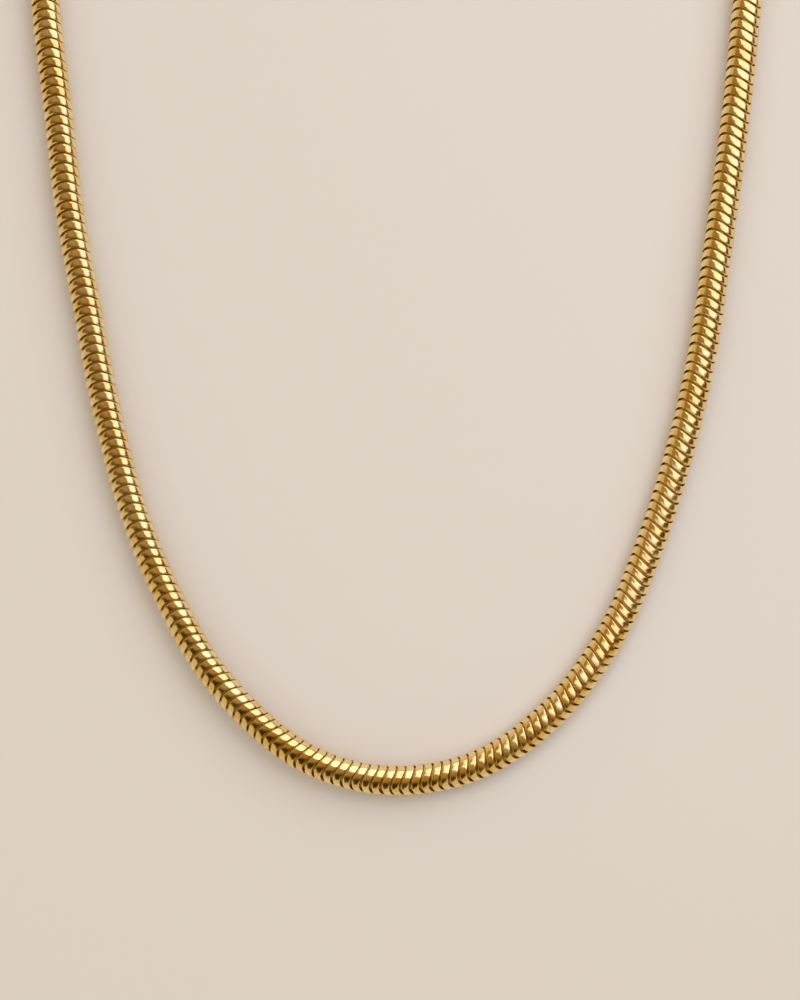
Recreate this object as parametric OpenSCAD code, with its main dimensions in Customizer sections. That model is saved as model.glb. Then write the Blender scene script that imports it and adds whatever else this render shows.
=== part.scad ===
// A round snake chain necklace, closed by a barrel clasp, as it lies on a table.
// +Z is up, +Y points from the front of the loop to the clasp at the back of the neck.
// The origin is on the table, under the middle of the loop.

/* [Chain] */
// Thickness of the chain
chain_d = 4; // [3:0.1:5.5]

/* [Clasp] */
// Length of the barrel from mouth to mouth
clasp_len = 14; // [11:0.5:17]
// Wall of the barrel round the chain, at its mouths
clasp_wall = 0.6; // [0.5:0.05:1.2]
// How much the barrel swells in radius from its mouths to its middle
clasp_swell = 0.45; // [0.2:0.05:0.9]
// Solid metal between the two sockets
clasp_web = 3; // [2:0.5:5]

/* [Fit] */
// Gap between the side of the chain and its socket
socket_clearance = 0.15; // [0.1:0.05:0.3]
// Gap between the tip of the chain and the bottom of its socket
tip_clearance = 0.3; // [0.1:0.05:0.5]

/* [Hidden] */

// The route of the chain on the table, seen from above, from the clasp's left mouth down the
// left side, round the front and up the right side to the other mouth.
// Each row is x, y and lift, the share of the way up from the table to the clasp's axis.
chain_route = [
    [-15, 77, 0.8],
    [-25, 73, 0.3],
    [-34, 66, 0],
    [-41, 56.5, 0],
    [-45, 45.5, 0],
    [-46.5, 33.5, 0],
    [-46, 21.5, 0],
    [-44.5, 9, 0],
    [-43, -4, 0],
    [-40.5, -18, 0],
    [-38, -31, 0],
    [-34.5, -44, 0],
    [-29.5, -56, 0],
    [-23, -66.5, 0],
    [-13, -75.5, 0],
    [-1.5, -79, 0],
    [10.5, -77, 0],
    [20.5, -70, 0],
    [28, -60, 0],
    [33, -48.5, 0],
    [37, -36, 0],
    [40, -23, 0],
    [42, -9.5, 0],
    [44, 5, 0],
    [45.5, 19, 0],
    [46.5, 32.5, 0],
    [45, 45.5, 0],
    [41, 56.5, 0],
    [34, 66, 0],
    [25, 73, 0.3],
    [15, 77, 0.8]
];
// Middle of the clasp, at the back of the loop
clasp_y = 78;
// Straight run of the chain just outside each mouth
mouth_run = 1;

// Corners of the chain's cross-section, a multiple of 4 so that it lies on one of them
chain_sides = 12;
// Cross-sections along each span of the route
rings_per_span = 2;
// Radius of the clasp's rounded rims, as a share of its wall
rim_share = 0.4;

chain_r = chain_d / 2;
socket_r = chain_r + socket_clearance;
mouth_r = socket_r + clasp_wall;
clasp_r = mouth_r + clasp_swell;
clasp_half = clasp_len / 2;
socket_bottom = clasp_web / 2;
tip_x = socket_bottom + tip_clearance;
lead_x = clasp_half + mouth_run;
// Radius of the barrel's long outer curve, through its middle and both mouths
swell_r = (clasp_half * clasp_half + clasp_swell * clasp_swell) / (2 * clasp_swell);
rim_r = clasp_wall * rim_share;

// A point of the chain's centreline, raised by its lift
function raised(row) = [row[0], row[1], chain_r + row[2] * (clasp_r - chain_r)];

// All points that the centreline runs through, from tip to tip
centreline = concat(
    [[-tip_x, clasp_y, clasp_r], [-lead_x, clasp_y, clasp_r]],
    [for (row = chain_route) raised(row)],
    [[lead_x, clasp_y, clasp_r], [tip_x, clasp_y, clasp_r]]
);
spans = len(centreline) - 1;

// The point before the first one and after the last one continue the end spans
function through(i) =
    i < 0 ? 2 * centreline[0] - centreline[1] :
    i > spans ? 2 * centreline[spans] - centreline[spans - 1] :
    centreline[i];

// A smooth curve through a, b, c and d, at the share u of the way from b to c
function on_curve(a, b, c, d, u) =
    0.5 * (2 * b + (c - a) * u + (2 * a - 5 * b + 4 * c - d) * u * u
        + (3 * b - 3 * c + d - a) * u * u * u);
function along_curve(a, b, c, d, u) =
    0.5 * ((c - a) + 2 * (2 * a - 5 * b + 4 * c - d) * u + 3 * (3 * b - 3 * c + d - a) * u * u);

function unit(v) = v / norm(v);

// One ring of corners round the centreline, upright at every place
function ring(centre, heading) =
    let (side = unit(cross([0, 0, 1], heading)), up = cross(unit(heading), side))
    [for (k = [0:chain_sides - 1])
        centre + chain_r * (cos(k * 360 / chain_sides) * side + sin(k * 360 / chain_sides) * up)];

function span_ring(i, u) =
    ring(
        on_curve(through(i - 1), through(i), through(i + 1), through(i + 2), u),
        along_curve(through(i - 1), through(i), through(i + 1), through(i + 2), u)
    );

// The rings joined into a closed tube with flat ends
module swept_tube() {
    rings = concat(
        [for (i = [0:spans - 1]) for (j = [0:rings_per_span - 1]) span_ring(i, j / rings_per_span)],
        [span_ring(spans - 1, 1)]
    );
    last = len(rings) - 1;
    corners = [for (one_ring = rings) for (corner = one_ring) corner];
    walls = [for (i = [0:last - 1]) for (k = [0:chain_sides - 1])
        let (next = (k + 1) % chain_sides)
        [
            i * chain_sides + k,
            (i + 1) * chain_sides + k,
            (i + 1) * chain_sides + next,
            i * chain_sides + next
        ]];
    first_end = [for (k = [0:chain_sides - 1]) k];
    last_end = [for (k = [chain_sides - 1:-1:0]) last * chain_sides + k];
    polyhedron(points = corners, faces = concat(walls, [first_end], [last_end]), convexity = 10);
}

module snake_chain() {
    color("goldenrod") swept_tube();
}

// Half of the barrel's section, with its axis on Y and rounded rims
module barrel_section() {
    intersection() {
        translate([clasp_r - swell_r, 0]) circle(r = swell_r, $fn = 720);
        union() {
            translate([0, -clasp_half]) square([mouth_r - rim_r, clasp_len]);
            translate([0, rim_r - clasp_half]) square([clasp_r, clasp_len - 2 * rim_r]);
            for (end = [-1, 1])
                translate([mouth_r - rim_r, end * (clasp_half - rim_r)]) circle(r = rim_r, $fn = 32);
        }
    }
}

// The hole that takes one end of the chain, open on the side that end points to
module socket(end) {
    rotate([0, end * 90, 0])
        translate([0, 0, socket_bottom]) cylinder(r = socket_r, h = clasp_half, $fn = 48);
}

module barrel_clasp() {
    color("gold")
        translate([0, clasp_y, clasp_r])
            difference() {
                rotate([0, 90, 0]) rotate_extrude($fn = 96) barrel_section();
                for (end = [-1, 1]) socket(end);
            }
}

snake_chain();
barrel_clasp();
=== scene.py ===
import bisect
import math
import random

import bmesh
import bpy
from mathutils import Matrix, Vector


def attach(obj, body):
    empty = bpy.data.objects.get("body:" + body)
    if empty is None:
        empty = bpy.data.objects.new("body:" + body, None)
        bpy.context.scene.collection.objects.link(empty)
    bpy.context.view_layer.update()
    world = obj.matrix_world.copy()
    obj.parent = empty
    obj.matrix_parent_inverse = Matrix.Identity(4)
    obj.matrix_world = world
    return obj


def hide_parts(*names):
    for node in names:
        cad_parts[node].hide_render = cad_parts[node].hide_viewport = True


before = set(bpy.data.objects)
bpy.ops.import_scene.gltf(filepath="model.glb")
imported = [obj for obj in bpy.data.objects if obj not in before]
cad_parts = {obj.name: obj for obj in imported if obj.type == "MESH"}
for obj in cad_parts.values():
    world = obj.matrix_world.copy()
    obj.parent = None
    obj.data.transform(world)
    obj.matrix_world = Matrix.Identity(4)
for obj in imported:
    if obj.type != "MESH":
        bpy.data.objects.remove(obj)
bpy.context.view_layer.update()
print("frame loaded")


# A socket that counts like a number: sums on it become Math nodes
class Wire:
    def __init__(self, tree, socket):
        self.tree = tree
        self.socket = socket

    def __add__(self, other):
        return self.tree.math("ADD", self, other)

    def __sub__(self, other):
        return self.tree.math("SUBTRACT", self, other)

    def __rsub__(self, other):
        return self.tree.math("SUBTRACT", other, self)

    def __mul__(self, other):
        return self.tree.math("MULTIPLY", self, other)

    def __truediv__(self, other):
        return self.tree.math("DIVIDE", self, other)

    def __rtruediv__(self, other):
        return self.tree.math("DIVIDE", other, self)

    __radd__ = __add__
    __rmul__ = __mul__


class NodeTree:
    def __init__(self, owner):
        owner.use_nodes = True
        self.tree = owner.node_tree
        self.tree.nodes.clear()

    def add(self, kind, settings=None, inputs=None, output=0):
        node = self.tree.nodes.new("ShaderNode" + kind)
        for name, value in (settings or {}).items():
            setattr(node, name, value)
        for name, value in (inputs or {}).items():
            if isinstance(value, Wire):
                self.tree.links.new(value.socket, node.inputs[name])
            else:
                node.inputs[name].default_value = value
        return Wire(self, node.outputs[output]) if node.outputs else None

    def math(self, operation, first, second):
        return self.add("Math", {"operation": operation}, {0: first, 1: second})

    def dot(self, first, second):
        return self.add("VectorMath", {"operation": "DOT_PRODUCT"}, {0: first, 1: second}, "Value")

    def mix(self, factor, first, second):
        return self.add("Mix", {"data_type": "RGBA"}, {0: factor, 6: first, 7: second}, 2)  # colour sockets

    def attribute(self, name, output):
        return self.add("Attribute", {"attribute_name": name}, output=output)

    def noise(self, where, pattern):
        scale, detail, roughness = pattern
        inputs = {"Vector": where, "Scale": scale, "Detail": detail, "Roughness": roughness}
        return self.add("TexNoise", inputs=inputs)

    def stretch(self, where, scale):
        return self.add("Mapping", inputs={"Vector": where, "Scale": scale})

    def squeeze(self, value, edge, first=0.0, second=1.0):  # soft step from first to second over the edge
        inputs = {0: value, 1: edge[0], 2: edge[1], 3: first, 4: second}
        return self.add("MapRange", {"interpolation_type": "SMOOTHSTEP"}, inputs)


gold = {
    "light": (0.97, 0.78, 0.40, 1),
    "deep": (0.93, 0.67, 0.27, 1),
    # painted shade: the colour the slits are darkened towards, standing in for the shade down in them
    "paintedShade": (0.5, 0.25, 0.04, 1),  # down in the slits
    "roughness": 0.17,
}


def sway(pattern, amount):  # turns a pattern of 0 to 1 into a change to either side
    return (pattern - 0.5) * amount


def finishGold(tree, finish, colour, roughness, grain, lines):
    bump = tree.add("Bump", inputs={
        "Strength": finish["bump"],
        "Distance": finish["bumpDepth"],
        "Height": grain * finish["grainBump"] + lines * finish["lineBump"],
    })
    shader = tree.add("BsdfPrincipled", inputs={
        "Base Color": colour,
        "Metallic": 1.0,
        "Roughness": roughness + sway(grain, finish["grainRough"]) + sway(lines, finish["lineRough"]),
        "Normal": bump,
    })
    tree.add("OutputMaterial", inputs={"Surface": shader})


linkFinish = {
    # scale, detail and roughness of each pattern
    "clouds": (420.0, 3.0, 0.5),
    "grain": (6500.0, 3.0, 0.6),
    "lines": (1.0, 2.0, 0.5),
    "lineStretch": (30000.0, 900.0, 5000.0),  # along the chain, round it and from link to link
    "cloudEdge": (0.3, 0.7),
    "cloudShare": 0.6,  # the clouds' part in the colour, where the rest is each link's own tone
    # the slits are painted darker, as painted shade, from their bottom up to this height on a link
    "slitEdge": (0.3, 0.8),  # height on a link over which the dark of the slits ends
    # how strongly the painted shade is mixed into the slits
    "paintedShadeShare": 0.75,
    "slitRough": 0.3,
    "cloudRough": 0.1,
    "toneRough": 0.06,
    "grainRough": 0.14,
    "lineRough": 0.14,
    "grainBump": 0.6,
    "lineBump": 0.5,
    "bump": 0.14,
    "bumpDepth": 0.00004,
}


def linkGold():
    material = bpy.data.materials.new("linkGold")
    tree = NodeTree(material)
    where = tree.add("TexCoord", output="Object")
    crown = tree.attribute("crown", "Fac")
    tone = tree.attribute("tone", "Fac")
    skin = tree.attribute("skin", "Vector")
    clouds = tree.noise(where, linkFinish["clouds"])
    grain = tree.noise(where, linkFinish["grain"])
    lines = tree.noise(tree.stretch(skin, linkFinish["lineStretch"]), linkFinish["lines"])
    # painted shade: the deeper into a slit, the more the colour turns to the painted shade colour; the same
    # mask also roughens the slits
    slit = 1 - tree.squeeze(crown, linkFinish["slitEdge"])
    mottle = clouds * linkFinish["cloudShare"] + tone * (1 - linkFinish["cloudShare"])
    colour = tree.mix(tree.squeeze(mottle, linkFinish["cloudEdge"]), gold["deep"], gold["light"])
    colour = tree.mix(slit * linkFinish["paintedShadeShare"], colour, gold["paintedShade"])
    roughness = gold["roughness"] + slit * linkFinish["slitRough"]
    roughness = roughness + sway(clouds, linkFinish["cloudRough"]) + sway(tone, linkFinish["toneRough"])
    finishGold(tree, linkFinish, colour, roughness, grain, lines)
    return material


claspFinish = {
    # scale, detail and roughness of each pattern
    "clouds": (300.0, 3.0, 0.5),
    "grain": (5000.0, 3.0, 0.5),
    "lines": (1.0, 2.0, 0.5),
    "lineStretch": (9000.0, 260.0, 260.0),  # fine along the barrel, so the lines run round it
    "cloudEdge": (0.35, 0.65),
    "grainRough": 0.08,
    "lineRough": 0.2,
    "grainBump": 0.2,
    "lineBump": 0.8,
    "bump": 0.15,
    "bumpDepth": 0.00003,
}


def claspGold():
    material = bpy.data.materials.new("claspGold")
    tree = NodeTree(material)
    where = tree.add("TexCoord", output="Object")
    clouds = tree.noise(where, claspFinish["clouds"])
    grain = tree.noise(where, claspFinish["grain"])
    lines = tree.noise(tree.stretch(where, claspFinish["lineStretch"]), claspFinish["lines"])
    colour = tree.mix(tree.squeeze(clouds, claspFinish["cloudEdge"]), gold["deep"], gold["light"])
    finishGold(tree, claspFinish, colour, gold["roughness"], grain, lines)
    return material


def toMesh(name, bm):
    mesh = bpy.data.meshes.new(name)
    bm.to_mesh(mesh)
    bm.free()
    return mesh


def newPiece(name, bm, node, material):
    mesh = toMesh(name, bm)
    for face in mesh.polygons:
        face.use_smooth = True
    piece = bpy.data.objects.new(name, mesh)
    bpy.context.scene.collection.objects.link(piece)
    mesh.materials.append(material)
    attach(piece, "root")
    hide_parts(node)
    return piece


clasp = {
    "y": 0.078,  # middle of the barrel, at the back of the loop
    "length": 0.014,
    "socketRadius": 0.00215,
    "wall": 0.0006,  # round a socket, at its mouth
    "swell": 0.00045,  # how much the barrel's radius grows to its middle
    "web": 0.003,  # what is left between the two sockets
    "rim": 0.00024,  # rounding of the mouths' edges
    "rimSteps": 3,
    "mouthRun": 0.001,  # how far the chain runs straight outside its mouth
    "tipGap": 0.0003,  # from the chain's tip to the web
    "curveSteps": 12,
    "sides": 72,
    "crispAngle": 40,  # edges that bend by more degrees are shaded crisp
    "hair": 0.000001,  # places closer than this are one
}


def claspRadius():
    return clasp["socketRadius"] + clasp["wall"] + clasp["swell"]


def mouthEdges(bm):
    edges = []
    for edge in bm.edges:
        first, second = [vert.co for vert in edge.verts]
        atMouth = min(abs(first.x), abs(second.x)) > clasp["length"] / 2 - clasp["hair"]
        sameRing = abs(first.yz.length - second.yz.length) < clasp["hair"]
        if atMouth and sameRing:
            edges.append(edge)
    return edges


def makeClasp():
    half = clasp["length"] / 2
    inner = clasp["socketRadius"]
    outer = claspRadius()
    bottom = clasp["web"] / 2
    swell = clasp["swell"]
    arc = (half ** 2 + swell ** 2) / (2 * swell)
    steps = clasp["curveSteps"]
    places = [half * (1 - 2 * step / steps) for step in range(steps + 1)]
    barrel = [(x, outer - arc + math.sqrt(arc ** 2 - x ** 2)) for x in places]
    rightSocket = [(bottom, 0), (bottom, inner), (half, inner)]
    leftSocket = [(-half, inner), (-bottom, inner), (-bottom, 0)]
    bm = bmesh.new()
    corners = [bm.verts.new((x, 0, out)) for x, out in rightSocket + barrel + leftSocket]
    edges = [bm.edges.new(pair) for pair in zip(corners, corners[1:])]
    bmesh.ops.spin(bm, geom=corners + edges, cent=(0, 0, 0), axis=(1, 0, 0), angle=math.tau,
                   steps=clasp["sides"], use_merge=True)
    bmesh.ops.remove_doubles(bm, verts=bm.verts, dist=clasp["hair"])
    bmesh.ops.recalc_face_normals(bm, faces=bm.faces)
    bmesh.ops.bevel(bm, geom=mouthEdges(bm), offset=clasp["rim"], affect="EDGES",
                    segments=clasp["rimSteps"], profile=0.5, material=-1)
    bmesh.ops.translate(bm, verts=bm.verts, vec=(0, clasp["y"], outer))
    for edge in bm.edges:
        if edge.calc_face_angle(0) > math.radians(clasp["crispAngle"]):
            edge.smooth = False
    newPiece("clasp_barrel", bm, "barrel_clasp", claspGold())
    print("clasp turned")


# The chain's way on the table, from the clasp's left mouth round the front to the right one, as x, y and
# lift, which is 0 where the chain lies flat and 1 level with the clasp's middle
route = [
    (-0.015, 0.077, 0.8),
    (-0.025, 0.073, 0.3),
    (-0.034, 0.066, 0),
    (-0.041, 0.0565, 0),
    (-0.045, 0.0455, 0),
    (-0.0465, 0.0335, 0),
    (-0.046, 0.0215, 0),
    (-0.0445, 0.009, 0),
    (-0.043, -0.004, 0),
    (-0.0405, -0.018, 0),
    (-0.038, -0.031, 0),
    (-0.0345, -0.044, 0),
    (-0.0295, -0.056, 0),
    (-0.023, -0.0665, 0),
    (-0.013, -0.0755, 0),
    (-0.0015, -0.079, 0),
    (0.0105, -0.077, 0),
    (0.0205, -0.07, 0),
    (0.028, -0.06, 0),
    (0.033, -0.0485, 0),
    (0.037, -0.036, 0),
    (0.04, -0.023, 0),
    (0.042, -0.0095, 0),
    (0.044, 0.005, 0),
    (0.0455, 0.019, 0),
    (0.0465, 0.0325, 0),
    (0.045, 0.0455, 0),
    (0.041, 0.0565, 0),
    (0.034, 0.066, 0),
    (0.025, 0.073, 0.3),
    (0.015, 0.077, 0.8),
]

chain = {
    "radius": 0.002,
    "pitch": 0.00126,
    "sides": 12,
    # corners of one band's section: share of half a pitch along the chain, share of the chain's radius
    "section": [(-0.95, 0.95), (-0.895, 0.99), (0, 1), (0.895, 0.99), (0.95, 0.95), (0, 0.75)],
    "wave": 0.00045,  # how far the wavy edge swings to either side
    "waves": 2,  # on the way once round the chain
    "fullness": 1.03,  # these two make up for what the subdivision takes off radius and wave
    "waveFullness": 1.15,
    "neckRadius": 0.8,  # of the links' inner collars, as a share of the chain's radius
    "neckStep": 0.004,
    "samples": 24,  # steps from one point of the route to the next, in which its length is measured
    # how much the links differ, in place, lean, size, taper and tone
    "seed": 11,
    "pitchJitter": 0.000015,
    "tiltJitter": 0.018,
    "sizeJitter": 0.012,
    "taperJitter": 0.012,
    # the tables that follow go by the share of the chain's length
    # how much each link narrows towards the next one, as scales do
    "taperAlong": [(0, 0.016), (0.38, 0.016), (0.46, 0.034), (0.58, 0.034), (0.66, 0.016), (1, 0.016)],
    # turn of the wave round the chain, in degrees
    "turnAlong": [(0, 0), (0.42, 0), (0.48, -22), (0.55, -30), (0.62, -36), (0.71, -54), (1, -54)],
    # width of the links, which leaves wider slits where it is less
    "widthAlong": [(0, 1.035), (0.48, 1.02), (0.56, 0.93), (0.64, 0.9), (1, 0.9)],
    "sideSlits": 0.05,  # how much narrower the links are at the chain's sides, as a share
    # how fast the slits open to the loop's outside, and from where: -1 is the outer rim and 1 the inner
    "openAlong": [(0, 0.27), (0.35, 0.27), (0.43, 0.22), (0.53, 0.22), (0.58, 0), (1, 0)],
    "openFrom": 0.3,
    # and how fast they close again at the outer rim, and from where
    "closeAlong": [(0, 0), (0.62, 0), (0.68, 0.25), (1, 0.25)],
    "closeFrom": -0.4,
}


def centreline():
    low = chain["radius"]
    high = claspRadius()
    tip = clasp["web"] / 2 + clasp["tipGap"]
    lead = clasp["length"] / 2 + clasp["mouthRun"]
    back = clasp["y"]
    rows = [Vector((-tip, back, high)), Vector((-lead, back, high))]
    rows += [Vector((x, y, low + lift * (high - low))) for x, y, lift in route]
    rows += [Vector((lead, back, high)), Vector((tip, back, high))]
    return [2 * rows[0] - rows[1]] + rows + [2 * rows[-1] - rows[-2]]


class Course:  # the chain's smooth centreline, read by the distance from its first tip
    def __init__(self, points, samples):
        self.points = points
        self.samples = samples
        self.lengths = [0.0]
        here = self.along(0, 0)[0]
        for span in range(len(points) - 3):
            for sample in range(1, samples + 1):
                there = self.along(span, sample / samples)[0]
                self.lengths.append(self.lengths[-1] + (there - here).length)
                here = there
        self.length = self.lengths[-1]

    def along(self, span, u):
        a, b, c, d = self.points[span:span + 4]
        bend = 2 * a - 5 * b + 4 * c - d
        twist = 3 * b - 3 * c + d - a
        place = 0.5 * (2 * b + (c - a) * u + bend * u * u + twist * u ** 3)
        heading = 0.5 * ((c - a) + 2 * bend * u + 3 * twist * u * u)
        return place, heading.normalized()

    def at(self, distance):
        distance = min(max(distance, 0), self.length)
        step = min(bisect.bisect_right(self.lengths, distance), len(self.lengths) - 1) - 1
        gap = self.lengths[step + 1] - self.lengths[step]
        u = (step % self.samples + (distance - self.lengths[step]) / gap) / self.samples
        return self.along(step // self.samples, u)

    def spot(self, distance, angle, radius):  # angle 0 on top, positive to the inside of the loop
        place, heading = self.at(distance)
        side = Vector((0, 0, 1)).cross(heading).normalized()
        up = heading.cross(side)
        return place + radius * (math.sin(angle) * side + math.cos(angle) * up)


def between(table, share):  # the table's value at a share of the chain's length, in soft steps
    for (low, first), (high, second) in zip(table, table[1:]):
        if share <= high:
            u = (share - low) / (high - low)
            u = u * u * (3 - 2 * u)
            return first + u * (second - first)
    return table[-1][1]


def linkMesh():
    bm = bmesh.new()
    half = chain["pitch"] / 2
    full = chain["radius"] * chain["fullness"]
    corners = [bm.verts.new((along * half, 0, out * full)) for along, out in chain["section"]]
    edges = [bm.edges.new(pair) for pair in zip(corners, corners[1:] + corners[:1])]
    bmesh.ops.spin(bm, geom=corners + edges, cent=(0, 0, 0), axis=(1, 0, 0), angle=math.tau,
                   steps=chain["sides"], use_merge=True)
    bmesh.ops.recalc_face_normals(bm, faces=bm.faces)
    return toMesh("oneLink", bm)


def neckMesh(course):  # the links' inner collars, seen at the bottom of the slits
    radius = chain["radius"] * chain["neckRadius"]
    half = course.length / 2
    bm = bmesh.new()
    bmesh.ops.create_cone(bm, cap_ends=True, segments=chain["sides"], radius1=radius, radius2=radius,
                          depth=course.length)
    rails = [edge for edge in bm.edges if edge.calc_length() > half]
    cuts = int(course.length / chain["neckStep"])
    bmesh.ops.subdivide_edges(bm, edges=rails, cuts=cuts, use_grid_fill=True)
    for vert in bm.verts:
        x, y, along = vert.co
        vert.co = course.spot(along + half, math.atan2(y, x), math.hypot(x, y))
    return toMesh("neck", bm)


def linkWidth(share, aside):  # aside is -1 at the loop's outer rim and 1 at its inner one
    width = between(chain["widthAlong"], share) - chain["sideSlits"] * aside ** 2
    width -= between(chain["openAlong"], share) * max(0, chain["openFrom"] - aside)
    width += between(chain["closeAlong"], share) * max(0, chain["closeFrom"] - aside)
    return width


def makeLinks(course):
    rand = random.Random(chain["seed"])
    oneLink = linkMesh()
    size = len(oneLink.vertices)
    half = chain["pitch"] / 2
    full = chain["radius"] * chain["fullness"]
    wave = chain["wave"] * chain["waveFullness"]
    run = course.length - chain["pitch"]
    count = int(run / chain["pitch"]) + 1
    step = run / (count - 1)
    bm = bmesh.new()
    for _ in range(count):
        bm.from_mesh(oneLink)
    bm.verts.ensure_lookup_table()
    crown = bm.verts.layers.float.new("crown")  # height on the band's section, 0 to 1
    tone = bm.verts.layers.float.new("tone")  # the same all over one link
    skin = bm.verts.layers.float_vector.new("skin")  # place on the unrolled link, and which link it is
    low = min(out for _, out in chain["section"])
    high = max(out for _, out in chain["section"])
    for link in range(count):
        middle = half + link * step + rand.uniform(-1, 1) * chain["pitchJitter"]
        share = middle / course.length
        turn = math.radians(between(chain["turnAlong"], share))
        tilt = chain["radius"] * rand.uniform(-1, 1) * chain["tiltJitter"]
        tiltWay = rand.uniform(0, math.tau)
        grow = 1 + rand.uniform(-1, 0) * chain["sizeJitter"]
        taper = between(chain["taperAlong"], share) + rand.uniform(-1, 1) * chain["taperJitter"]
        shade = rand.random()
        for vert in bm.verts[link * size:(link + 1) * size]:
            x, y, z = vert.co
            angle = math.atan2(y, z)
            radius = math.hypot(y, z)
            vert[crown] = (radius / full - low) / (high - low)
            vert[tone] = shade
            vert[skin] = (x, angle * radius, link * chain["pitch"])
            swing = tilt * math.cos(angle - tiltWay) - wave * math.cos(chain["waves"] * (angle - turn))
            along = middle + x * linkWidth(share, math.sin(angle)) + swing
            vert.co = course.spot(along, angle, radius * grow * (1 - taper * x / half))
    # the collars take the slits' painted shade all over, as their crown stays 0
    bm.from_mesh(neckMesh(course))  # its crown stays 0, which makes it as dark as the slits
    bmesh.ops.recalc_face_normals(bm, faces=bm.faces)
    piece = newPiece("chain_links", bm, "snake_chain", linkGold())
    smooth = piece.modifiers.new("smooth", "SUBSURF")
    smooth.levels = 1
    smooth.render_levels = 1
    piece.modifiers.new("crisp", "WEIGHTED_NORMAL")
    print("links", count, "step mm", round(step * 1000, 3))


view = {
    "centre": (0.00037, -0.04224),
    "height": 0.1311,  # what the picture's long side takes in, level with the chain's middle
    "lens": 120,  # in mm, as the sensor is
    "sensor": 36,
    "nearest": 0.01,
}


def makeCamera():
    camera = bpy.data.cameras.new("camera")
    camera.lens = view["lens"]
    camera.sensor_width = view["sensor"]
    camera.clip_start = view["nearest"]
    distance = view["height"] * view["lens"] / view["sensor"]
    holder = bpy.data.objects.new("camera", camera)
    holder.location = (*view["centre"], chain["radius"] + distance)
    bpy.context.scene.collection.objects.link(holder)
    bpy.context.scene.camera = holder
    print("camera set")


studio = {
    "floorSize": 6.0,
    "floorColour": (0.8, 0.773, 0.728, 1),
    "floorRoughness": 0.6,
    "lampColour": (0.97, 1.0, 1.12),
    # level lamps that only the metal sees, for a window and for pale surfaces near the chain: name, middle,
    # turn in degrees, width, length, glow
    "panels": [
        ("windowInner", (0.045, 0.31, 0.132), 0, 0.02, 0.68, 1.0),
        ("windowNear", (0.0675, 0.304, 0.132), 0, 0.025, 0.692, 1.0),
        ("windowMiddle", (0.1275, 0.2975, 0.132), 0, 0.095, 0.705, 1.15),
        ("windowOuter", (0.2475, 0.315, 0.132), 0, 0.145, 0.67, 1.4),
        ("windowFar", (0.385, 0.41, 0.132), 0, 0.13, 0.68, 1.3),
        ("windowEnd", (0.65, 0.515, 0.132), 0, 0.4, 0.47, 1.3),
        ("windowSide", (-0.008, 0.25, 0.131), 9, 0.04, 0.42, 1.4),
        ("card", (0.0375, -0.055, 0.06), -28, 0.088, 0.018, 0.9),
        ("haze", (-0.055, -0.007, 0.05), 9, 0.036, 0.11, 0.06),
        ("hazeLow", (-0.0215, -0.0645, 0.05), 40, 0.022, 0.034, 0.05),
    ],
    # lamps that light the floor and don't show in the metal, facing the origin: name, middle, size, glow
    "softLamps": [
        ("key", (0.69, 0.78, 1.06), 1.4, 2.2),
        ("fill", (-0.3, -0.25, 0.9), 1.4, 0.77),
    ],
}


def makeFloor():
    bm = bmesh.new()
    bmesh.ops.create_grid(bm, x_segments=1, y_segments=1, size=studio["floorSize"] / 2)
    mesh = toMesh("floor", bm)
    floor = bpy.data.objects.new("floor", mesh)
    bpy.context.scene.collection.objects.link(floor)
    material = bpy.data.materials.new("paleFloor")
    tree = NodeTree(material)
    shader = tree.add("BsdfPrincipled", inputs={
        "Base Color": studio["floorColour"],
        "Roughness": studio["floorRoughness"],
    })
    tree.add("OutputMaterial", inputs={"Surface": shader})
    mesh.materials.append(material)


def addLamp(name, middle, rotation, width, length, glow, mirrored):
    lamp = bpy.data.lights.new(name, "AREA")
    lamp.shape = "RECTANGLE"
    lamp.size = width
    lamp.size_y = length
    lamp.energy = glow * math.pi * width * length
    lamp.color = studio["lampColour"]
    holder = bpy.data.objects.new(name, lamp)
    holder.location = middle
    holder.rotation_euler = rotation
    holder.visible_camera = False
    holder.visible_glossy = mirrored
    holder.visible_diffuse = not mirrored
    bpy.context.scene.collection.objects.link(holder)


def makeLamps():
    for name, middle, turn, width, length, glow in studio["panels"]:
        addLamp(name, middle, (0, 0, math.radians(turn)), width, length, glow, True)
    for name, middle, size, glow in studio["softLamps"]:
        aim = Vector(middle).to_track_quat("Z", "Y").to_euler()
        addLamp(name, middle, aim, size, size, glow, False)


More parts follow.
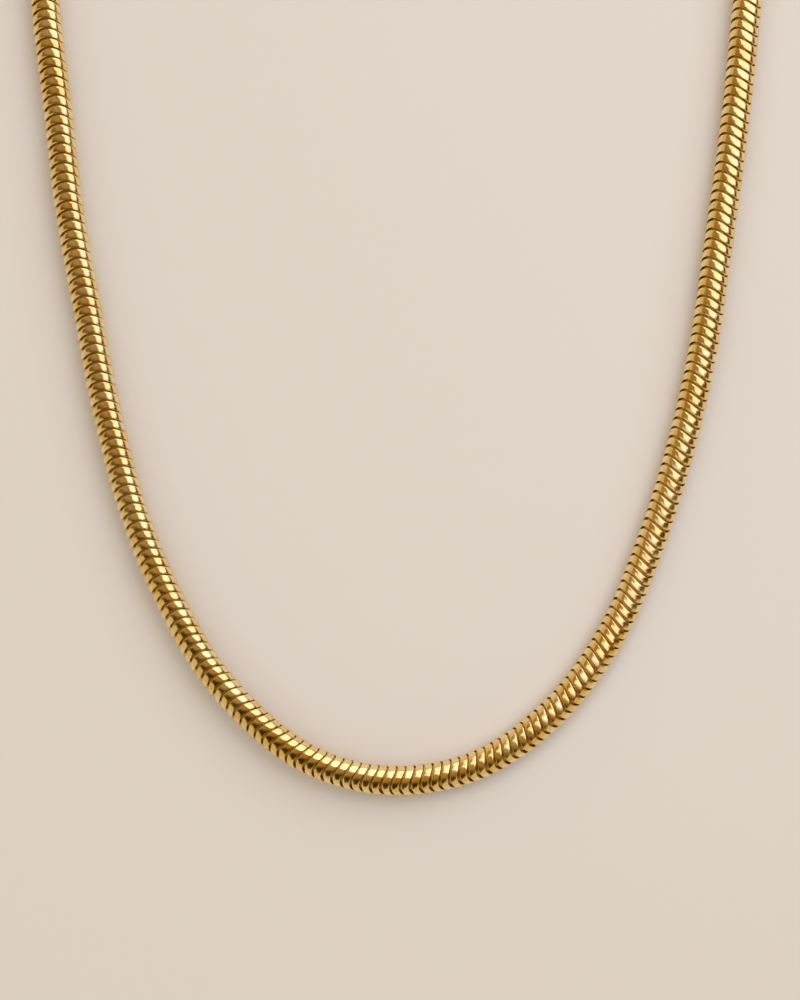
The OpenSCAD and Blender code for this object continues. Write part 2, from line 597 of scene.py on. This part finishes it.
# The room's glow, by the way looked along. An edge is where a soft step starts and ends: on the way's z for
# overhead, and for the others on its dot product with the way named above.
room = {
    "horizon": (0.65, 0.515, 0.28, 1),  # low down
    "overhead": (0.345, 0.206, 0.048),  # higher up
    "overheadEdge": (0.37, 0.46),  # height, as the way's z, over which one turns into the other
    "corner": (-0.75, -0.66, 0),  # the way to the corner where the low glow reaches higher
    "cornerEdge": (0.3, 0.5),
    "cornerRise": 0.34,
    "cornerFrom": (0.26, 0.56),  # where that sets in, as the way's y over its x, and where it stops
    "cornerTo": (1.6, 4.5),
    "turn": (0.71, -0.71, 0),  # the way past the chain's turn, where it reaches higher too
    "turnEdge": (0.74, 0.82),
    "turnRise": 0.2,
    "front": (-0.2, -0.98, 0),  # the way in which the high glow dims
    "frontEdge": (0.03, 0.45),
    "frontDim": 0.9,
    "right": (0.99, 0.14, 0),  # the way to the dark corner
    "rightEdge": (0.64, 0.75),
    "darkFrom": (-0.36, -0.26),  # where that sets in, as the way's y over its x
    "dark": (0.1, 0.048, 0.006, 1),
}


def makeWorld():
    world = bpy.data.worlds.new("room")
    bpy.context.scene.world = world
    tree = NodeTree(world)
    way = tree.add("TexCoord", output="Generated")
    x, y, z = [tree.add("SeparateXYZ", inputs={0: way}, output=axis) for axis in "XYZ"]
    aside = y / x
    rise = tree.squeeze(tree.dot(way, room["corner"]), room["cornerEdge"], 0.0, room["cornerRise"])
    rise = rise * tree.squeeze(aside, room["cornerFrom"]) * (1 - tree.squeeze(aside, room["cornerTo"]))
    rise = rise + tree.squeeze(tree.dot(way, room["turn"]), room["turnEdge"], 0.0, room["turnRise"])
    dim = tree.squeeze(tree.dot(way, room["front"]), room["frontEdge"], 0.0, room["frontDim"])
    overhead = tree.add("VectorMath", {"operation": "SCALE"}, {0: room["overhead"], "Scale": 1 - dim})
    glow = tree.mix(tree.squeeze(z - rise, room["overheadEdge"]), room["horizon"], overhead)
    dark = tree.squeeze(tree.dot(way, room["right"]), room["rightEdge"])
    dark = dark * tree.squeeze(aside, room["darkFrom"])
    background = tree.add("Background", inputs={"Color": tree.mix(dark, glow, room["dark"])})
    tree.add("OutputWorld", inputs={"Surface": background})


def makeStudio():
    bpy.context.scene.view_settings.view_transform = "Standard"
    makeFloor()
    makeLamps()
    makeWorld()
    print("studio lit")


makeCamera()
makeStudio()
makeLinks(Course(centreline(), chain["samples"]))
makeClasp()
